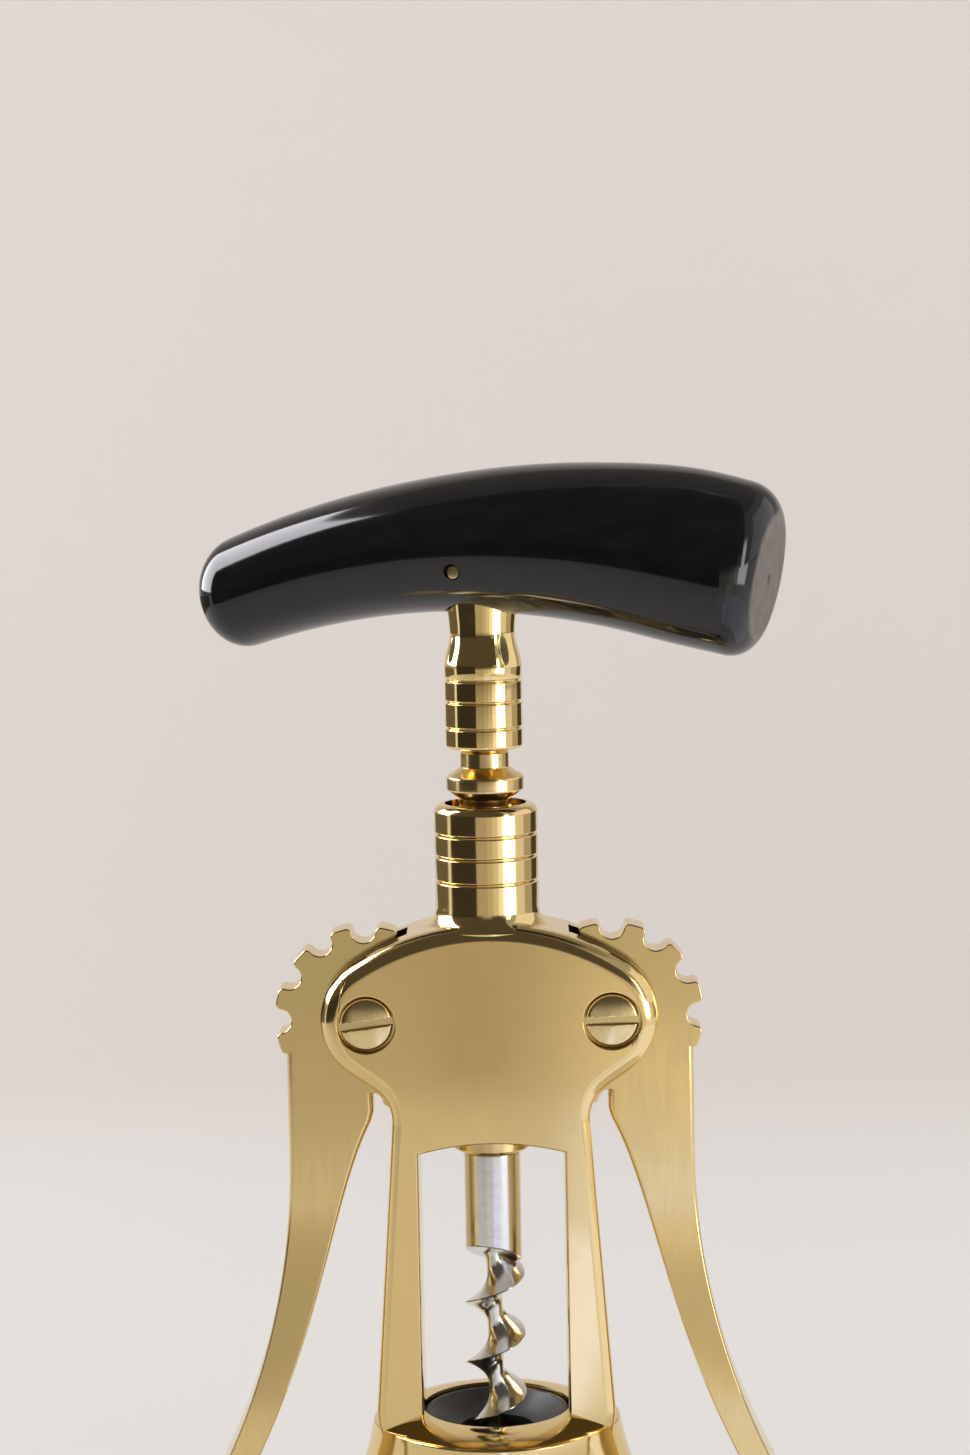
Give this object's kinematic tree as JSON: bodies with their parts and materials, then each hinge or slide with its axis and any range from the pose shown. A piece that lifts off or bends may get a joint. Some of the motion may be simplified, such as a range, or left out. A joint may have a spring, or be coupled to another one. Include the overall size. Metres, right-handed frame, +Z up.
{
  "type": "wing corkscrew",
  "caption": "Wing corkscrew: a bell on posts guides a steel worm on a ringed rack, raised by geared levers and turned by a bent black horn handle.",
  "frame": {"origin": "centre of the bell's bottom rim, on the worm's axis, on the surface that the corkscrew stands on", "axes": "+Z up along the worm's axis, +X towards the right lever, +Y to the back, the slotted pivot screws face -Y"},
  "size_m": [0.099, 0.0465, 0.1737],
  "materials": {
    "frame_brass": "polished, with a fine grain on the bell",
    "liner_black": "satin black",
    "screw_brass": "turned and polished",
    "lever_brass": "polished with a faint satin grain",
    "rack_brass": "turned and polished",
    "rod_steel": "drawn bar",
    "ferrule_brass": "turned, mirror polished",
    "horn_black": "black horn, polished",
    "pin_brass": "cut and filed flush",
    "worm_steel": "polished steel"
  },
  "bodies": {
    "frame": {"frame_body": "frame_brass", "bell_liner": "liner_black", "left_pivot_screw": "screw_brass", "right_pivot_screw": "screw_brass", "left_pivot_barrel": "screw_brass", "right_pivot_barrel": "screw_brass"},
    "rack": {"rack_sleeve": "rack_brass"},
    "spindle": {"spindle_rod": "rod_steel", "ferrule": "ferrule_brass", "horn_handle": "horn_black", "handle_pin": "pin_brass", "worm_screw": "worm_steel"},
    "left_lever": {"left_lever": "lever_brass"},
    "right_lever": {"right_lever": "lever_brass"}
  },
  "joints": [
    {"name": "rack_slide", "type": "slide", "parent": "frame", "child": "rack", "axis": [0, 0, -1], "range_m": [0, 0.026]},
    {"name": "spindle_spin", "type": "hinge", "parent": "rack", "child": "spindle", "pos_m": [0, 0, 0.1317], "axis": [0, 0, -1], "continuous": true},
    {"name": "left_lever_hinge", "type": "hinge", "parent": "frame", "child": "left_lever", "pos_m": [-0.0181, 0, 0.0919], "axis": [0, 1, 0], "range_deg": [0, 114.5]},
    {"name": "right_lever_hinge", "type": "hinge", "parent": "frame", "child": "right_lever", "pos_m": [0.0181, 0, 0.0919], "axis": [0, -1, 0], "range_deg": [0, 114.5]}
  ],
  "couplings": [
    {"joint": "left_lever_hinge", "follows": "rack_slide", "rad_per_m": 76.326},
    {"joint": "right_lever_hinge", "follows": "rack_slide", "rad_per_m": 76.326}
  ]
}
